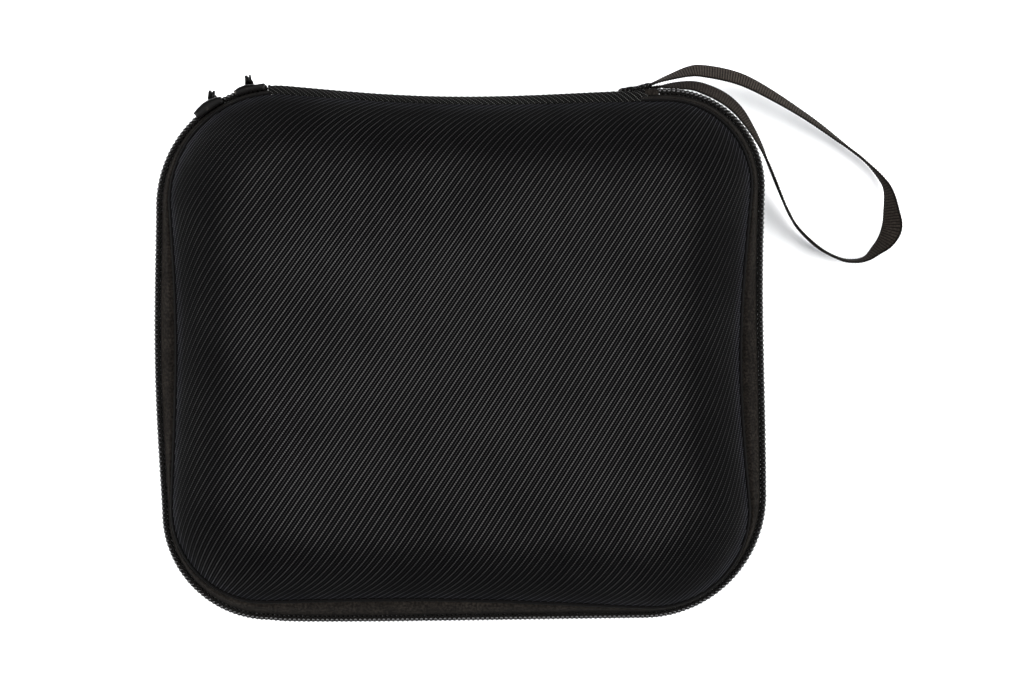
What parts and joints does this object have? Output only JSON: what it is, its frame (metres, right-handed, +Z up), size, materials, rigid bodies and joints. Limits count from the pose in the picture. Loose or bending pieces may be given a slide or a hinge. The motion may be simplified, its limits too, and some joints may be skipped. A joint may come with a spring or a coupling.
{
  "type": "miniature carry case",
  "caption": "Zip-up carry case for tabletop miniatures: two moulded shells on a cloth hinge, a slotted foam tray, sliders with pull tabs and a wrist loop.",
  "frame": {"origin": "centre of the flat patch that the base stands on", "axes": "+Z up through the lid, +Y towards the hinge, +X along the hinge, towards the end with the wrist strap"},
  "size_m": [0.2967, 0.2196, 0.0723],
  "materials": {
    "shell_fabric": "diagonal ribbed jacquard over moulded foam",
    "lining": "brushed knit",
    "binding": "woven tape",
    "zip_tape": "woven polyester tape",
    "zip_coil": "satin nylon coil",
    "hinge_fabric": "diagonal ribbed jacquard",
    "foam": "open-cell foam",
    "slider_metal": "black enamel, satin",
    "webbing": "grosgrain ribbed webbing"
  },
  "bodies": {
    "base": {"base_shell": "shell_fabric", "base_lining": "lining", "base_seam_binding": "binding", "base_zip_tape": "zip_tape", "base_zip_coil": "zip_coil", "base_hinge_strip": "hinge_fabric", "base_foam_pad": "foam", "foam_tray": "foam", "strap_anchor_fold": "hinge_fabric", "wrist_strap": "webbing", "zip_stop_left": "slider_metal", "zip_stop_right": "slider_metal"},
    "lid": {"lid_shell": "shell_fabric", "lid_lining": "lining", "lid_seam_binding": "binding", "lid_zip_tape": "zip_tape", "lid_zip_coil": "zip_coil", "lid_hinge_strip": "hinge_fabric", "lid_foam_pad": "foam"},
    "left_slider": {"left_zip_slider": "slider_metal"},
    "top_slider": {"top_zip_slider": "slider_metal"},
    "left_pull": {"left_pull_tab": "slider_metal"},
    "top_pull": {"top_pull_tab": "slider_metal"}
  },
  "joints": [
    {"name": "lid_hinge", "type": "hinge", "parent": "base", "child": "lid", "pos_m": [0, 0.1076, 0.036], "axis": [-1, 0, 0], "range_deg": [0, 180]},
    {"name": "left_slider_travel", "type": "hinge", "parent": "base", "child": "left_slider", "pos_m": [-0.0713, 0.0573, 0.0345], "axis": [0, 0, 1], "range_deg": [0, 45]},
    {"name": "top_slider_travel", "type": "hinge", "parent": "base", "child": "top_slider", "pos_m": [-0.0713, 0.0573, 0.0345], "axis": [0, 0, 1], "range_deg": [0, 5]},
    {"name": "left_pull_swing", "type": "hinge", "parent": "left_slider", "child": "left_pull", "pos_m": [-0.09802, 0.10074, 0.034], "axis": [0.8517, 0.524, 0], "range_deg": [0, 150]},
    {"name": "top_pull_swing", "type": "hinge", "parent": "top_slider", "child": "top_pull", "pos_m": [-0.08346, 0.10683, 0.034], "axis": [0.9711, 0.2385, 0], "range_deg": [0, 150]}
  ]
}
